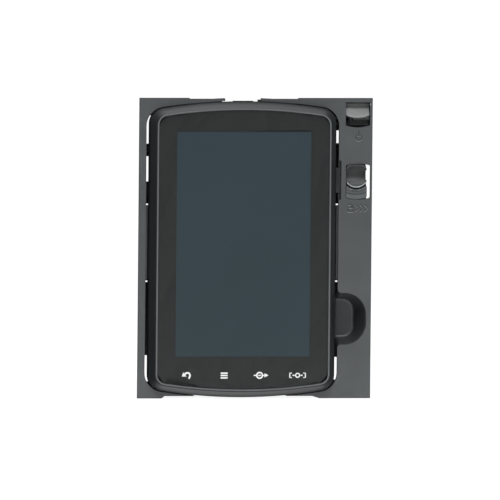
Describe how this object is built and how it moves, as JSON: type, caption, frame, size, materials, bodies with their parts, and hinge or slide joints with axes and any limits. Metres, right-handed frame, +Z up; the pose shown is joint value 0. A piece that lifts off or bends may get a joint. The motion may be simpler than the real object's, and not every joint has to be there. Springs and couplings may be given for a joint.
{
  "type": "data collector",
  "caption": "Touch-screen handheld data collector in a panel dock with a sliding latch, power rocker and thumb scoop.",
  "frame": {"origin": "middle of the resting bottom edge, centred in width and depth", "axes": "+X right, +Y back (the screen faces -Y), +Z up"},
  "size_m": [0.1588, 0.0324, 0.2032],
  "materials": {
    "dock_plastic": "satin moulded",
    "knob_plastic": "satin moulded",
    "paddle_plastic": "satin moulded",
    "shell_plastic": "fine textured",
    "silver_trim": "satin",
    "cover_glass": "polished",
    "black_print": "printed",
    "display": "blank screen",
    "diffuser": "diffusing",
    "tray_steel": "stamped",
    "steel": "zinc plated",
    "spring_steel": "wire",
    "brass": "turned",
    "circuit_board": "solder mask",
    "chip_plastic": "moulded",
    "ceramic": "fired",
    "connector_plastic": "moulded",
    "rubber": "matt",
    "battery_plastic": "fine textured"
  },
  "bodies": {
    "dock": {"dock_frame": "dock_plastic", "dock_back": "dock_plastic", "latch_cover": "dock_plastic", "latch_cover_screws": "steel", "latch_springs": "spring_steel", "paddle_pin": "steel", "paddle_spring": "spring_steel", "side_guides": "dock_plastic", "dock_pads": "rubber", "dock_board": "circuit_board", "dock_connector": "connector_plastic", "connector_pins": "brass", "power_socket": "connector_plastic", "dock_screws": "steel", "mount_inserts": "brass"},
    "latch": {"latch_slide": "knob_plastic"},
    "paddle": {"power_paddle": "paddle_plastic"},
    "plunger": {"key_plunger": "knob_plastic"},
    "handheld": {"bezel_ring": "silver_trim", "touch_glass": "cover_glass", "display_mask": "black_print", "lcd_panel": "display", "backlight": "diffuser", "lcd_tray": "tray_steel", "touch_key_sensor": "black_print", "front_housing": "shell_plastic", "housing_seal": "rubber", "rear_housing": "shell_plastic", "housing_screws": "steel", "main_board": "circuit_board", "board_shields": "tray_steel", "board_chips": "chip_plastic", "gps_antenna": "ceramic", "coin_cell": "steel", "speaker": "chip_plastic", "power_switch": "connector_plastic", "card_socket": "tray_steel", "memory_card": "chip_plastic", "usb_connector": "tray_steel", "antenna_socket": "brass", "contact_pads": "brass", "battery_pack": "battery_plastic", "battery_contacts": "brass", "battery_latch_spring": "spring_steel"},
    "handheld_power_key": {"power_key": "rubber"},
    "battery_catch": {"battery_latch": "knob_plastic"},
    "port_flap": {"port_cover": "rubber"}
  },
  "joints": [
    {"name": "undock", "type": "slide", "parent": "dock", "child": "handheld", "axis": [0, -1, 0], "range_m": [0, 0.045]},
    {"name": "release_latch", "type": "slide", "parent": "dock", "child": "latch", "axis": [1, 0, 0], "range_m": [0, 0.0021], "stiffness_N_per_m": 500, "springref_m": -0.001, "deforming": ["latch_springs"]},
    {"name": "power_rocker", "type": "hinge", "parent": "dock", "child": "paddle", "pos_m": [0.06935, -0.00155, 0.1984], "axis": [1, 0, 0], "range_deg": [0, 10], "stiffness_Nm_per_rad": 0.012, "springref_deg": -5.73, "deforming": ["paddle_spring"]},
    {"name": "plunger_push", "type": "slide", "parent": "dock", "child": "plunger", "axis": [-1, 0, 0], "range_m": [0, 0.00092]},
    {"name": "power_key_press", "type": "slide", "parent": "handheld", "child": "handheld_power_key", "axis": [-1, 0, 0], "range_m": [0, 0.00092]},
    {"name": "battery_release", "type": "slide", "parent": "handheld", "child": "battery_catch", "axis": [0, 0, 1], "range_m": [0, 0.003], "stiffness_N_per_m": 300, "springref_m": -0.001, "deforming": ["battery_latch_spring"]},
    {"name": "port_flap_hinge", "type": "hinge", "parent": "handheld", "child": "port_flap", "pos_m": [-0.045, 0.0091, 0.03165], "axis": [1, 0, 0], "range_deg": [0, 85]}
  ],
  "couplings": [
    {"joint": "plunger_push", "follows": "power_rocker", "m_per_rad": 0.005157},
    {"joint": "power_key_press", "follows": "power_rocker", "m_per_rad": 0.005157}
  ]
}
